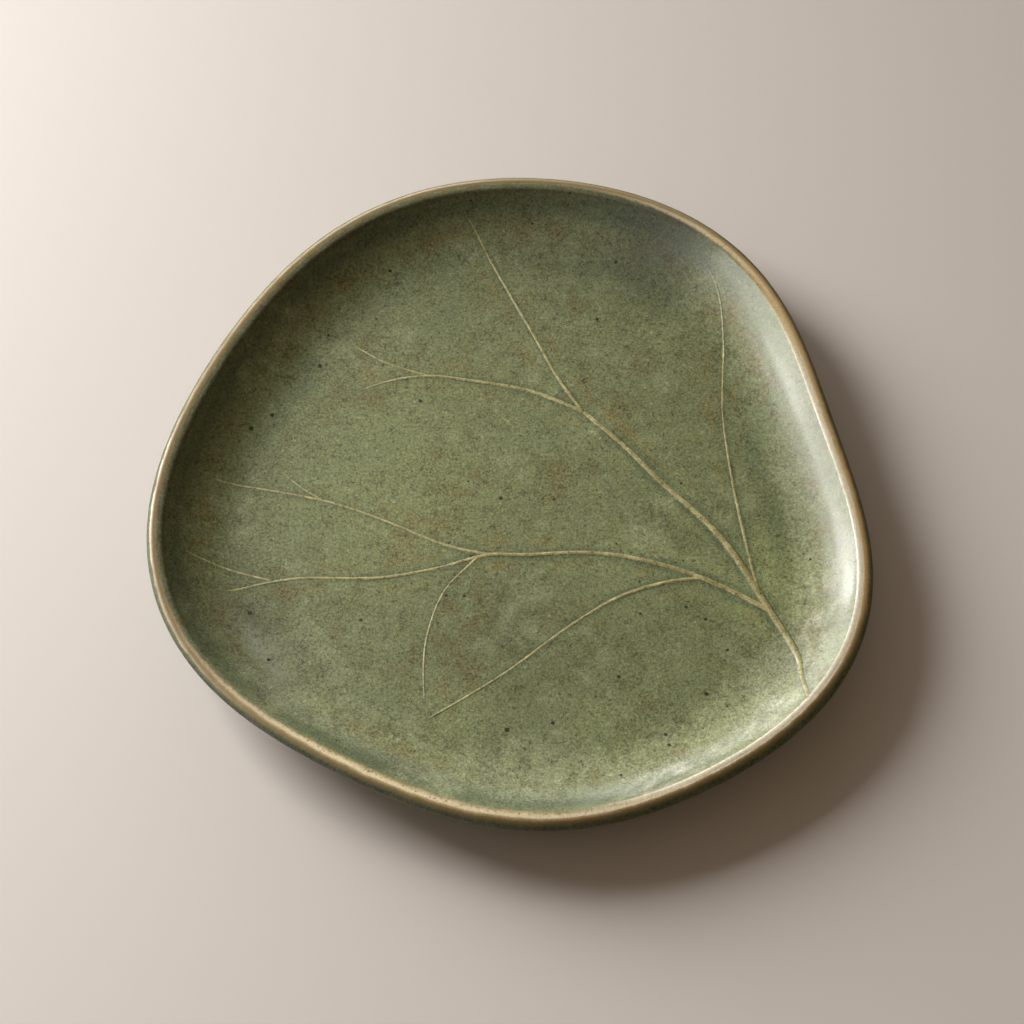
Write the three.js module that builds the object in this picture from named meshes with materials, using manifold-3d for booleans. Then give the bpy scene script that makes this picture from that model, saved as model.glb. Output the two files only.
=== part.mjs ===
// A hand-built stoneware side plate. A clay slab, pressed over a leaf skeleton so that the veins stand up from
// its floor, is slumped into a shallow dish with a rounded lip, set on a coiled foot ring, and glazed inside and
// out. Millimetres, +Z up, resting on Z = 0.
import * as THREE from "three";
import { mergeVertices } from "three/addons/utils/BufferGeometryUtils.js";
import Module from "manifold-3d";

const wasm = await Module();
wasm.setup();

// Slab: the radius is the mean one to the outside of the lip, the bend is that of the slab's middle, and the lean
// is how far the wall has turned up from the floor by the lip.
const RIM_RADIUS = 100;
const SLAB_THICKNESS = 4.6;
const BEND_RADIUS = 31.7;
const WALL_LEAN = THREE.MathUtils.degToRad(45);

// The rim is out of round and its lip a little wavy. Each entry rises `count` times in a turn, once at `heading`.
const RIM_LOBES = [
  { count: 2, rise: 0.95, heading: -68 },
  { count: 3, rise: 4.1, heading: -41.3 },
  { count: 4, rise: 0.25, heading: 44 },
  { count: 5, rise: 1.7, heading: -21 },
  { count: 6, rise: 0.4, heading: -21.5 },
];
const LIP_WAVES = [
  { count: 1, rise: 2, heading: 148 },
  { count: 2, rise: 0.35, heading: 10 },
  { count: 3, rise: 0.2, heading: 60 },
];

// Foot ring: its middle lies inwards of the start of the bend, and each side flares on the way up to the slab.
const FOOT_HEIGHT = 4;
const FOOT_WIDTH = 6;
const FOOT_INSET = 12;
const FOOT_FLARE = 0.8;
const FOOT_EDGE = 1;

// Glaze: it thins towards the bare stretch of the lip, whose ends are angles round the nose from level outwards.
const GLAZE_THICKNESS = 0.45;
const GLAZE_EDGE = 0.15;
const BARE_LIP_OUTSIDE = THREE.MathUtils.degToRad(40);
const BARE_LIP_INSIDE = THREE.MathUtils.degToRad(105);
const BARE_FOOT_MARGIN = 3;

// Veins: the crests stand proud of the glaze, which keeps clear of their flanks.
const VEIN_PROUD = 0.25;
const VEIN_ROOT = 0.8;
const VEIN_CLEARANCE = 0.3;

// The leaf, drawn in hundredths of the rim radius: +X to the right, +Y away. Widths are at the two ends.
const LEAF = [
  {
    name: "midrib",
    width: [2.2, 1.4],
    path: [[79.4, -63.3], [78.1, -54.6], [77.5, -47.9], [70.5, -33.7], [57.5, -11.2], [41.1, 6.3],
      [29.7, 18.8], [19.2, 28.8]],
  },
  {
    name: "top vein",
    width: [1.2, 0.8],
    path: [[19.2, 28.8], [12.7, 38.8], [4.2, 55.8], [-5.7, 75.3], [-12.2, 88.2]],
  },
  {
    name: "back vein",
    width: [1.3, 0.8],
    path: [[19.2, 28.8], [4.2, 35.3], [-13.2, 38.8], [-25.2, 40.3], [-36.1, 38.8], [-48.1, 34.3]],
  },
  {
    name: "back twig",
    width: [0.9, 0.8],
    path: [[-25.2, 40.3], [-38.1, 44.8], [-50.1, 52.3]],
  },
  {
    name: "right vein",
    width: [1.3, 0.8],
    path: [[67.5, -27.7], [62.5, 0.3], [59.6, 27.8], [60.6, 53], [59.2, 67.5], [54.3, 78.4]],
  },
  {
    name: "front vein",
    width: [1.8, 0.8],
    path: [[70.5, -33.7], [57, -26.2], [42.6, -20.2], [23.2, -16.2], [1.3, -16.7], [-7.7, -16.7],
      [-21.7, -20.7], [-37.6, -23.7], [-63, -24.2], [-83.4, -28.7]],
  },
  {
    name: "left vein",
    width: [1.1, 0.8],
    path: [[-7.7, -16.7], [-19.7, -13.7], [-38.1, -5.7], [-51.6, -0.7], [-67, 2.8], [-87.5, 6.4]],
  },
  {
    name: "left twig",
    width: [0.9, 0.8],
    path: [[-55, 0.3], [-61, 4.3], [-67.5, 9.8]],
  },
  {
    name: "rim twig",
    width: [0.9, 0.8],
    path: [[-68.5, -24.7], [-79.4, -21.7], [-90.4, -18.1]],
  },
  {
    name: "down twig",
    width: [1, 0.8],
    path: [[-11.2, -17.7], [-20.2, -28.2], [-25.1, -44.2], [-25.1, -60.2]],
  },
  {
    name: "lower vein",
    width: [1.2, 0.8],
    path: [[52.1, -23.7], [41.6, -25.2], [28.6, -29.7], [15.2, -38.2], [-4.2, -53.2], [-26.1, -67.2]],
  },
];

// How finely the curves are stepped
const TURN_STEPS = 64;
const BEND_STEPS = 5;
const NOSE_STEPS = 3;
const EDGE_STEPS = 2;
const VEIN_STEP = 5;

// Places that follow from the sizes above
const HALF = SLAB_THICKNESS / 2;
const FLOOR_MIDDLE = FOOT_HEIGHT + HALF;
const FLOOR_TOP = FOOT_HEIGHT + SLAB_THICKNESS;
const NOSE = new THREE.Vector2(RIM_RADIUS - HALF, FLOOR_MIDDLE + BEND_RADIUS * (1 - Math.cos(WALL_LEAN)));
const BEND_START = NOSE.x - BEND_RADIUS * Math.sin(WALL_LEAN);
const NOSE_OUTSIDE = WALL_LEAN - Math.PI / 2;
const NOSE_INSIDE = WALL_LEAN + Math.PI / 2;
const FOOT_RADIUS = BEND_START - FOOT_INSET;
const GLAZE_LINE = FOOT_RADIUS + FOOT_WIDTH / 2 + FOOT_FLARE + BARE_FOOT_MARGIN;

const clay = new THREE.MeshStandardMaterial({ name: "stoneware", color: 0xb8996a, roughness: 0.85 });
const glaze = new THREE.MeshStandardMaterial({ name: "glaze", color: 0x6c7350, roughness: 0.3 });

// Sum of the waves at an angle round the plate
function waves(list, angle) {
  let sum = 0;
  for (const { count, rise, heading } of list) {
    sum += rise * Math.cos(count * (angle - THREE.MathUtils.degToRad(heading)));
  }
  return sum;
}

// Share of the lip's wave that is left at a radius of the round plate
function lifted(radius) {
  return THREE.MathUtils.clamp((radius - BEND_START) / (RIM_RADIUS - BEND_START), 0, 1) ** 2;
}

// Points along the bend at an offset from the slab's middle, inwards positive
function bend(offset, from, to) {
  const points = [];
  for (let i = 0; i <= BEND_STEPS; i++) {
    const angle = THREE.MathUtils.lerp(from, to, i / BEND_STEPS);
    const reach = BEND_RADIUS - offset;
    points.push(new THREE.Vector2(
      BEND_START + reach * Math.sin(angle),
      FLOOR_MIDDLE + BEND_RADIUS - reach * Math.cos(angle),
    ));
  }
  return points;
}

// Points round the nose of the lip after its first one, the coat over the clay going from one thickness to another
function nose(from, to, coatFrom = 0, coatTo = 0) {
  const points = [];
  for (let i = 1; i <= NOSE_STEPS; i++) {
    const angle = THREE.MathUtils.lerp(from, to, i / NOSE_STEPS);
    const reach = HALF + THREE.MathUtils.lerp(coatFrom, coatTo, i / NOSE_STEPS);
    points.push(new THREE.Vector2(NOSE.x + reach * Math.cos(angle), NOSE.y + reach * Math.sin(angle)));
  }
  return points;
}

// A rounded corner of the foot ring's bearing face, from one angle to the other
function footCorner(x, from, to) {
  const points = [];
  for (let i = 0; i <= EDGE_STEPS; i++) {
    const angle = THREE.MathUtils.lerp(from, to, i / EDGE_STEPS);
    points.push(new THREE.Vector2(x + FOOT_EDGE * Math.cos(angle), FOOT_EDGE + FOOT_EDGE * Math.sin(angle)));
  }
  return points;
}

function toManifold(geometry) {
  const bare = new THREE.BufferGeometry();
  bare.setAttribute("position", geometry.getAttribute("position"));
  bare.setIndex(geometry.index);
  const merged = mergeVertices(bare, 1e-4);
  const triVerts = [];
  for (let i = 0; i < merged.index.count; i += 3) {
    const corners = [0, 1, 2].map((k) => merged.index.getX(i + k));
    if (new Set(corners).size === 3) triVerts.push(...corners);
  }
  return new wasm.Manifold(new wasm.Mesh({
    numProp: 3,
    vertProperties: merged.getAttribute("position").array,
    triVerts: new Uint32Array(triVerts),
  }));
}

function toGeometry(solid) {
  const mesh = solid.getMesh();
  const geometry = new THREE.BufferGeometry();
  geometry.setAttribute("position", new THREE.BufferAttribute(mesh.vertProperties, 3));
  geometry.setIndex(new THREE.BufferAttribute(mesh.triVerts, 1));
  return geometry;
}

// Faces of a turned skin, each four-sided patch split along its shorter diagonal, so that two skins that share
// their points lie face to face
function shortDiagonals(position, rows) {
  const corner = (i) => new THREE.Vector3().fromBufferAttribute(position, i);
  const index = [];
  for (let i = 0; i < TURN_STEPS; i++) {
    for (let j = 0; j < rows - 1; j++) {
      const a = i * rows + j;
      const b = a + rows;
      const c = b + 1;
      const d = a + 1;
      const direct = corner(a).distanceTo(corner(c)) < corner(b).distanceTo(corner(d));
      index.push(...(direct ? [a, b, c, a, c, d] : [a, b, d, c, d, b]));
    }
  }
  return index;
}

// A turned profile, drawn as radius and height, pulled out of round and waved at the lip
function turned(profile) {
  const geometry = new THREE.LatheGeometry(profile, TURN_STEPS);
  geometry.rotateX(Math.PI / 2);
  const position = geometry.getAttribute("position");
  const at = new THREE.Vector3();
  for (let i = 0; i < position.count; i++) {
    at.fromBufferAttribute(position, i);
    const radius = Math.hypot(at.x, at.y);
    const angle = Math.atan2(at.y, at.x);
    const out = radius + waves(RIM_LOBES, angle) * Math.min(1, radius / BEND_START);
    at.z += waves(LIP_WAVES, angle) * lifted(radius);
    position.setXYZ(i, out * Math.cos(angle), out * Math.sin(angle), at.z);
  }
  geometry.setIndex(shortDiagonals(position, profile.length));
  return toManifold(geometry);
}

// Height of the slab's inner face at a place in plan
function faceHeight(x, y) {
  const angle = Math.atan2(y, x);
  const reach = Math.hypot(x, y);
  const pull = waves(RIM_LOBES, angle);
  const radius = Math.max(reach - pull, Math.min(BEND_START, reach / (1 + pull / BEND_START)));
  const inner = BEND_RADIUS - HALF;
  const run = radius - BEND_START;
  let height = FLOOR_TOP;
  if (run > inner * Math.sin(WALL_LEAN)) {
    const side = Math.min(HALF, Math.abs(radius - NOSE.x));
    height = NOSE.y + Math.sqrt(HALF ** 2 - side ** 2);
  } else if (run > 0) {
    height = FLOOR_TOP + inner - Math.sqrt(inner ** 2 - run ** 2);
  }
  return height + waves(LIP_WAVES, angle) * lifted(radius);
}

// A vein as a tapered bead along its path on the slab's face, grown on each side by `spare`
function bead({ width, path }, spare, rise, root) {
  const places = path.map(([x, y]) => new THREE.Vector3(x, y, 0).multiplyScalar(RIM_RADIUS / 100));
  const curve = new THREE.CatmullRomCurve3(places, false, "centripetal");
  const steps = Math.max(4, Math.round(curve.getLength() / VEIN_STEP));
  const section = [[-1, -root], [1, -root], [1, 0], [0.5, rise], [-0.5, rise], [-1, 0]];
  const sides = section.length;
  const positions = [];
  const index = [];
  for (let i = 0; i <= steps; i++) {
    const at = curve.getPointAt(i / steps);
    const along = curve.getTangentAt(i / steps);
    const slopeX = faceHeight(at.x + 0.1, at.y) - faceHeight(at.x - 0.1, at.y);
    const slopeY = faceHeight(at.x, at.y + 0.1) - faceHeight(at.x, at.y - 0.1);
    const up = new THREE.Vector3(-slopeX / 0.2, -slopeY / 0.2, 1).normalize();
    const across = new THREE.Vector3().crossVectors(up, along).normalize();
    const half = THREE.MathUtils.lerp(width[0], width[1], i / steps) / 2 + spare;
    at.z = faceHeight(at.x, at.y);
    for (const [side, lift] of section) {
      const point = at.clone().addScaledVector(across, side * half).addScaledVector(up, lift);
      positions.push(point.x, point.y, point.z);
    }
  }
  for (let i = 0; i < steps; i++) {
    for (let k = 0; k < sides; k++) {
      const next = (k + 1) % sides;
      const low = i * sides;
      const high = low + sides;
      index.push(low + k, low + next, high + k, low + next, high + next, high + k);
    }
  }
  for (let k = 1; k < sides - 1; k++) {
    const last = steps * sides;
    index.push(0, k + 1, k, last, last + k, last + k + 1);
  }
  const geometry = new THREE.BufferGeometry();
  geometry.setAttribute("position", new THREE.Float32BufferAttribute(positions, 3));
  geometry.setIndex(index);
  return toManifold(geometry);
}

// Slab
let slab = turned([
  new THREE.Vector2(0, FOOT_HEIGHT),
  ...bend(-HALF, 0, WALL_LEAN),
  ...nose(NOSE_OUTSIDE, BARE_LIP_OUTSIDE),
  ...nose(BARE_LIP_OUTSIDE, BARE_LIP_INSIDE),
  ...nose(BARE_LIP_INSIDE, NOSE_INSIDE),
  ...bend(HALF, WALL_LEAN, 0).slice(1),
  new THREE.Vector2(0, FLOOR_TOP),
]);

// Coat inside the dish, up to the bare stretch of the lip
let insideGlaze = turned([
  new THREE.Vector2(0, FLOOR_TOP),
  ...bend(HALF, 0, WALL_LEAN),
  ...nose(NOSE_INSIDE, BARE_LIP_INSIDE),
  new THREE.Vector2(
    NOSE.x + (HALF + GLAZE_EDGE) * Math.cos(BARE_LIP_INSIDE),
    NOSE.y + (HALF + GLAZE_EDGE) * Math.sin(BARE_LIP_INSIDE),
  ),
  ...nose(BARE_LIP_INSIDE, NOSE_INSIDE, GLAZE_EDGE, GLAZE_THICKNESS),
  ...bend(HALF + GLAZE_THICKNESS, WALL_LEAN, 0).slice(1),
  new THREE.Vector2(0, FLOOR_TOP + GLAZE_THICKNESS),
]);

// Coat on the outer wall, from the bare stretch of the lip to the line beside the foot ring
const outsideGlaze = turned([
  new THREE.Vector2(GLAZE_LINE, FOOT_HEIGHT - GLAZE_THICKNESS),
  ...bend(-HALF - GLAZE_THICKNESS, 0, WALL_LEAN),
  ...nose(NOSE_OUTSIDE, BARE_LIP_OUTSIDE, GLAZE_THICKNESS, GLAZE_EDGE),
  new THREE.Vector2(
    NOSE.x + HALF * Math.cos(BARE_LIP_OUTSIDE),
    NOSE.y + HALF * Math.sin(BARE_LIP_OUTSIDE),
  ),
  ...nose(BARE_LIP_OUTSIDE, NOSE_OUTSIDE),
  ...bend(-HALF, WALL_LEAN, 0).slice(1),
  new THREE.Vector2(GLAZE_LINE, FOOT_HEIGHT),
  new THREE.Vector2(GLAZE_LINE, FOOT_HEIGHT - GLAZE_THICKNESS),
]);

// Foot ring, flaring up to the slab from a bearing face with rounded edges
const footRing = turned([
  new THREE.Vector2(FOOT_RADIUS - FOOT_WIDTH / 2 - FOOT_FLARE, FOOT_HEIGHT),
  ...footCorner(FOOT_RADIUS - FOOT_WIDTH / 2 + FOOT_EDGE, -Math.PI, -Math.PI / 2),
  ...footCorner(FOOT_RADIUS + FOOT_WIDTH / 2 - FOOT_EDGE, -Math.PI / 2, 0),
  new THREE.Vector2(FOOT_RADIUS + FOOT_WIDTH / 2 + FOOT_FLARE, FOOT_HEIGHT),
  new THREE.Vector2(FOOT_RADIUS - FOOT_WIDTH / 2 - FOOT_FLARE, FOOT_HEIGHT),
]);

// Veins: one body with the slab, through slits in the glaze
const veinRise = GLAZE_THICKNESS + VEIN_PROUD;
for (const vein of LEAF) {
  slab = slab.add(bead(vein, 0, veinRise, VEIN_ROOT));
  insideGlaze = insideGlaze.subtract(bead(vein, VEIN_CLEARANCE, veinRise + VEIN_CLEARANCE, VEIN_ROOT));
}

const plate = new THREE.Group();
plate.name = "side_plate";
const pieces = [
  ["slab_body", slab, clay],
  ["foot_ring", footRing, clay],
  ["inside_glaze", insideGlaze, glaze],
  ["outside_glaze", outsideGlaze, glaze],
];
for (const [name, solid, material] of pieces) {
  const mesh = new THREE.Mesh(toGeometry(solid), material);
  mesh.name = name;
  plate.add(mesh);
}

// The middle of the plate's box stands over the origin.
const middle = new THREE.Box3().setFromObject(plate).getCenter(new THREE.Vector3());
for (const mesh of plate.children) {
  mesh.geometry.translate(-middle.x, -middle.y, 0);
}

export default plate;
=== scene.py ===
import math
from collections import namedtuple

import bmesh
import bpy
import numpy as np
from bpy.props import FloatProperty, FloatVectorProperty, IntProperty, PointerProperty
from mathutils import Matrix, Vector, kdtree, noise


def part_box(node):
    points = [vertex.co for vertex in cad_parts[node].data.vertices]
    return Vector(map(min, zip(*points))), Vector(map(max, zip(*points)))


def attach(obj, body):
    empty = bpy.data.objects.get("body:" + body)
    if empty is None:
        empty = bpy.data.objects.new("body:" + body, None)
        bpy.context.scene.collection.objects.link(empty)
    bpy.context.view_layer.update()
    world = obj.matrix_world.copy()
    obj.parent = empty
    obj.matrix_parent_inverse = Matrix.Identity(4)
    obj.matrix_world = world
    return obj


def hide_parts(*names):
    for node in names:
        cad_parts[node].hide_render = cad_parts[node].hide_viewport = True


bl_info = {
    "name": "Leaf side plate",
    "version": (1, 0, 0),
    "blender": (4, 5, 0),
    "location": "View3D > Sidebar > Side plate",
    "description": "Builds a hand-built stoneware side plate with raised leaf veins under a green glaze",
    "category": "Object",
}

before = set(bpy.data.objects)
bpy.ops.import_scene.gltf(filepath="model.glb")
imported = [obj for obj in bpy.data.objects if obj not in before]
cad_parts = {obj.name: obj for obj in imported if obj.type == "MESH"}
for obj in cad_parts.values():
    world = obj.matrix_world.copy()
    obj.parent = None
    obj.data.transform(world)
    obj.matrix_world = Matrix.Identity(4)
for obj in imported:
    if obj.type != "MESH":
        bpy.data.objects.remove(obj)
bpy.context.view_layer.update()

MM = 0.001
TURN = 2 * math.pi
HALF_TURN = 180

# The rim is out of round and its lip a little wavy: (count in a turn, rise, heading in degrees)
RIM_LOBES = (
    (2, 0.95 * MM, -68),
    (3, 4.1 * MM, -41.3),
    (4, 0.25 * MM, 44),
    (5, 1.7 * MM, -21),
    (6, 0.4 * MM, -21.5),
)
LIP_WAVES = (
    (1, 2.0 * MM, 148),
    (2, 0.35 * MM, 10),
    (3, 0.2 * MM, 60),
)

# The leaf, drawn in hundredths of the rim radius: for each vein the length in mm over which glaze closes over
# its end, the widths of the bare crest in mm at even shares of the path, and the path
LEAF = {
    "midrib": (1, (0.9, 1.5, 1.8, 1.6, 1.4, 1.25, 1.15),
     ((79.4, -63.3), (78.1, -54.6), (77.5, -47.9), (70.5, -33.7), (57.5, -11.2), (41.1, 6.3), (29.7, 18.8),
      (19.2, 28.8))),
    "top vein": (16, (0.95, 0.8, 0.6, 0.4),
     ((19.2, 28.8), (12.7, 38.8), (4.2, 55.8), (-5.7, 75.3), (-12.2, 88.2), (-17.5, 95.9))),
    "back vein": (10, (1.1, 0.95, 0.7, 0.4),
     ((19.2, 28.8), (4.2, 35.3), (-13.2, 38.8), (-25.2, 40.3), (-36.1, 38.8), (-48.1, 34.3))),
    "back twig": (8, (0.6, 0.4), ((-25.2, 40.3), (-38.1, 44.8), (-50.1, 52.3))),
    "right vein": (34, (0.95, 0.6, 0.4),
     ((67.5, -27.7), (62.5, 0.3), (59.6, 27.8), (60.6, 53), (59.2, 67.5), (54.3, 78.4))),
    "front vein": (6, (1.5, 1.2, 1.0, 0.9, 0.7, 0.4),
     ((70.5, -33.7), (57, -26.2), (42.6, -20.2), (23.2, -16.2), (1.3, -16.7), (-7.7, -16.7), (-21.7, -20.7),
      (-37.6, -23.7), (-63, -24.2), (-83.4, -28.7))),
    "left vein": (6, (0.85, 0.5),
     ((-7.7, -16.7), (-19.7, -13.7), (-38.1, -5.7), (-51.6, -0.7), (-67, 2.8), (-87.5, 6.4))),
    "left twig": (6, (0.5, 0.35), ((-55, 0.3), (-61, 4.3), (-67.5, 9.8))),
    "rim twig": (9, (0.6, 0.45), ((-68.5, -24.7), (-79.4, -21.7), (-90.4, -18.1), (-95.6, -16.7))),
    "down twig": (14, (0.7, 0.35),
     ((-11.2, -17.7), (-20.2, -28.2), (-25.1, -44.2), (-25.1, -60.2), (-24.6, -63.6))),
    "lower vein": (10, (1.05, 0.45),
     ((52.1, -23.7), (41.6, -25.2), (28.6, -29.7), (15.2, -38.2), (-4.2, -53.2), (-26.1, -67.2))),
}

# The larger iron specks, in hundredths of the rim radius, with their half widths in mm
SPECKS = (
    (-56.9, 43.6, 0.55), (-70.2, 27.4, 0.55), (-76, 22.8, 0.6), (-27.7, 32.1, 0.5), (-4.3, 1, 0.5),
    (-37.2, 74.9, 0.45), (29.6, 78.3, 0.55), (23.8, 59.2, 0.45), (-74, -34.5, 0.6), (-43.1, -36.6, 0.45),
    (-14.5, -29.3, 0.4), (47.3, -32.7, 0.4), (52.7, -36.3, 0.45), (-2.5, -69.1, 0.6), (41.5, -73.8, 0.5),
    (28.2, -82.9, 0.4), (10, -67.1, 0.5), (28.3, -53.6, 0.45), (52.1, -58.6, 0.5), (58.3, -45.6, 0.4),
    (-68.2, -48.9, 0.5),
)

# Broad paler and darker patches of the inside glaze, in hundredths of the rim radius: x, y, reach,
# brightening. They are partly real clouds of the glaze, partly painted shade (the darkenings on the far wall)
# and painted sheen (the brightenings on the right and near wall)
PAINTED_LIGHT_AND_CLOUDS = (
    (12, 80, 20, -0.22), (44, 82, 18, -0.6), (-30, 1, 34, 0.18), (-77, -36, 20, -0.3), (-66, 12, 26, -0.04),
    (-8, -43, 28, -0.22), (28, -56, 16, -0.12), (-21, -69, 17, 0.27), (24, -70, 14, 0.27),
    (27, -17, 14, 0.12), (73, -25, 13, 0.52), (60, -72, 24, 0.25), (-20, 66, 30, -0.08),
    (-34, -84, 15, -0.2), (-66, -56, 12, -0.15),
)

# Patches on the inside glaze: middle in hundredths of the rim radius, direction, reach and width in mm
BLOOM = ((-71, -45), (0.62, -0.78), 13, 3.2)
# Painted sheen: white streaks on the near-right wall, where the midrib runs out, stand in for the windows'
# reflection
PAINTED_SHEEN_STREAKS = (
    ((69, -65), (0.68, 0.73), 13, 5),
    ((83, -40), (0.3, 0.95), 16, 4),
    ((42, -84), (0.86, 0.51), 18, 4),
)

# A vein's ridge: width against the bare crest, sides, depth of the underside against the half width, how deep
# it sits in the glaze, how much deeper it goes at its end and over what length, and the steps along it
VEIN_SPREAD = 1.7
VEIN_SIDES = 20
VEIN_DEPTH = 0.35
VEIN_SEAT = 0.03 * MM
VEIN_SINK = 0.12 * MM
VEIN_END = 4 * MM
VEIN_STEP = 0.6 * MM

# Each coat of glaze has a hidden back that lies in the slab and dips into the slab where it ends on the lip.
# The outside one is rolled over at its line beside the foot ring
COAT_BACK = 0.1 * MM
COAT_DIP = 0.04 * MM
GLAZE_ROLL = 1.2 * MM

# Steps of the profiles: slab (floor, bend, nose), inside glaze (floor, bend, lip), outside glaze (lip, bend,
# flat, roll), and the hidden back of a coat
SLAB_STEPS, INSIDE_STEPS, OUTSIDE_STEPS, BACK_STEPS = (26, 12, 40), (92, 34, 22), (34, 40, 8, 6), 6

# Sides of the plate: heading in degrees, and how far from it a change starts and is complete. The changes are
# of the glaze, of the painted highlight on the lip (pale side), of the painted shade up the wall (left side)
# and of the painted sheen on the near wall (near side)
VEIL_SIDE, PAINTED_HIGHLIGHT_SIDE, ROLL_SIDE, GOLD_SIDE = (140, 105, 50), (-20, 65, 35), (5, 48, 22), (10, 50, 22)
LIT_SIDE, LEFT_SIDE, NEAR_SIDE = (0, 75, 35), (155, 60, 30), (-65, 100, 40)

# Bands of thicker and thinner glaze up the wall: strength, middle and reach in mm
INSIDE_BANDS = ((0.3, 1, 5), (-0.3, 11, 4))
OUTSIDE_BANDS = ((0.5, 3, 4), (-0.5, 12, 5))
# The milk band is milky glaze up the near wall that is partly painted sheen
ROLLED_BAND, DRAWN_BAND, MILK_AND_SHEEN_BAND = (0.9, 19.5, 4), (-0.8, 24, 3.5), (1, 7, 7)

# Painted shade near the top of the wall, at the left and at the far side: brightening, start and full depth
# in mm
LEFT_PAINTED_SHADE, VEILED_PAINTED_SHADE = (-0.15, 15.5, 20), (-0.38, 20.5, 23.5)
# Painted shade: the outer wall is darkened all over
OUTSIDE_PAINTED_SHADE = -0.5

# Swells of the inside glaze and tears of its painted sheen streaks: height and size, length and width, in mm
SWELLS = ((0.07, 17), (0.03, 7))
TEAR = (6, 1.8)

# Radius at which the bake map of a piece starts
FOOT_MAP, OUTSIDE_MAP = 60 * MM, 130 * MM
MAP_REACH = 0.49

# Layers of the mottle: size, detail, roughness, distortion, whether it comes from another part of the noise
MOTTLE = {
    "Haze": (34 * MM, 3, 0.6, 0.6, True),
    "Cloud": (22 * MM, 3, 0.55, 0.4, False),
    "Blotch": (5.5 * MM, 3, 0.6, 0.5, False),
    "Grain": (0.75 * MM, 3, 0.8, 0.2, False),
}
MOTTLE_AWAY = (0.31, 0.17, 0.23)
SPECK_WOBBLE = 0.5 * MM

# Bands of the lip, and where the coats end, taper and dip on it, in degrees from level outside (0) over the
# crest (90) to level inside (180)
LIP_STOPS = ((48, "lip_olive"), (64, "lip_rust"), (79, "lip_tan"), (89, "lip_cream_and_highlight"), (106, "lip_cream_and_highlight"),
             (119, "lip_tan"), (132, "clay"))
VEILED_STOPS = ((44, "lip_olive"), (58, "lip_rust"), (76, "lip_veil"))
GOLD_BAND = (44, 66)
# Turn over which the lip is painted white as a highlight at the right and near right, where the windows would
# be reflected
PAINTED_HIGHLIGHT_BAND = (86, 110)
DOT_BAND = (92, 106)
BARE_OUTSIDE, BARE_INSIDE = (28, 52), (142, 116)
DULL_OUTSIDE, DULL_INSIDE = (2, 12), (52, 42)
INSIDE_EDGE, OUTSIDE_EDGE = math.radians(92), math.radians(84)
INSIDE_TAPER, OUTSIDE_TAPER = (96, 136), (82, 10)
INSIDE_DIP, OUTSIDE_DIP = (102, 93), (73, 83)

GLAZE_ROUGHNESS, LIP_ROUGHNESS, DULL_ROUGHNESS = 0.5, 0.36, 0.8
COAT_WEIGHT, COAT_ROUGHNESS = 0.34, 0.16
CLAY_ROUGHNESS, FLOOR_ROUGHNESS = 0.82, 0.9
BUMP_HEIGHT = 1.0 * MM

# Lamps: name, azimuth and elevation seen from the plate, distance, aim, size, spread, power, whether the lamp
# lights surfaces, and whether it is mirrored in the gloss
LAMPS = (
    ("key_window", 147, 26, 0.95, (0.05, -0.75, 0), (0.5, 0.5), 130, 9.6, True, False),
    ("wide_window", 98, 18, 1.0, (0, 0, 0), (1.1, 0.4), 180, 1.65, True, True),
    ("sheen_window", 151, 29, 0.95, (0, 0, 0), (0.37, 0.4), 180, 6.2, False, True),
    ("bright_window", 146.5, 24.5, 0.9, (0, 0, 0), (0.14, 0.2), 180, 2.1, False, True),
    ("back_window", 116, 14, 1.0, (0, 0, 0), (0.81, 0.4), 180, 5.8, False, True),
    ("side_window", 176, 24, 1.0, (0, 0, 0), (0.85, 0.72), 180, 9.0, False, True),
    ("tall_window", 176, 29, 1.0, (0, 0, 0), (0.85, 1.1), 180, 7.2, False, True),
    ("high_window", 141, 46, 1.0, (0, 0, 0), (0.2, 0.2), 180, 1.0, False, True),
)
DAYLIGHT, MIRRORED_LIGHT = (1.0, 0.99, 0.98), (0.98, 0.96, 1.0)
ROOM_LIGHT = (0.162, 0.123, 0.083)
LAMP_CENTRE = Vector((0, 0, 10 * MM))

# Camera, fitted to the outline in the photograph
SENSOR_WIDTH, PHOTO_WIDTH, PIXELS_PER_METRE = 36, 1024, 3524
CAMERA_DISTANCE, CAMERA_ELEVATION = 0.757, math.radians(64.6)
CAMERA_TARGET = Vector((0.654, -4.229, 7.4)) * MM
FLOOR_REACH = 3


def tint(red, green, blue):
    """An sRGB colour, 0 to 255, as linear light."""
    shares = [v / 255 for v in (red, green, blue)]
    return tuple(s / 12.92 if s <= 0.04045 else ((s + 0.055) / 1.055) ** 2.4 for s in shares)


def length(name, description, default):
    """A size in metres."""
    return FloatProperty(name=name, description=description, default=default, precision=5, unit="LENGTH")


def colour(name, description, *srgb):
    """A colour, given as sRGB."""
    return FloatVectorProperty(name=name, description=description, default=tint(*srgb), size=3,
                               subtype="COLOR", min=0, max=1)


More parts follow.
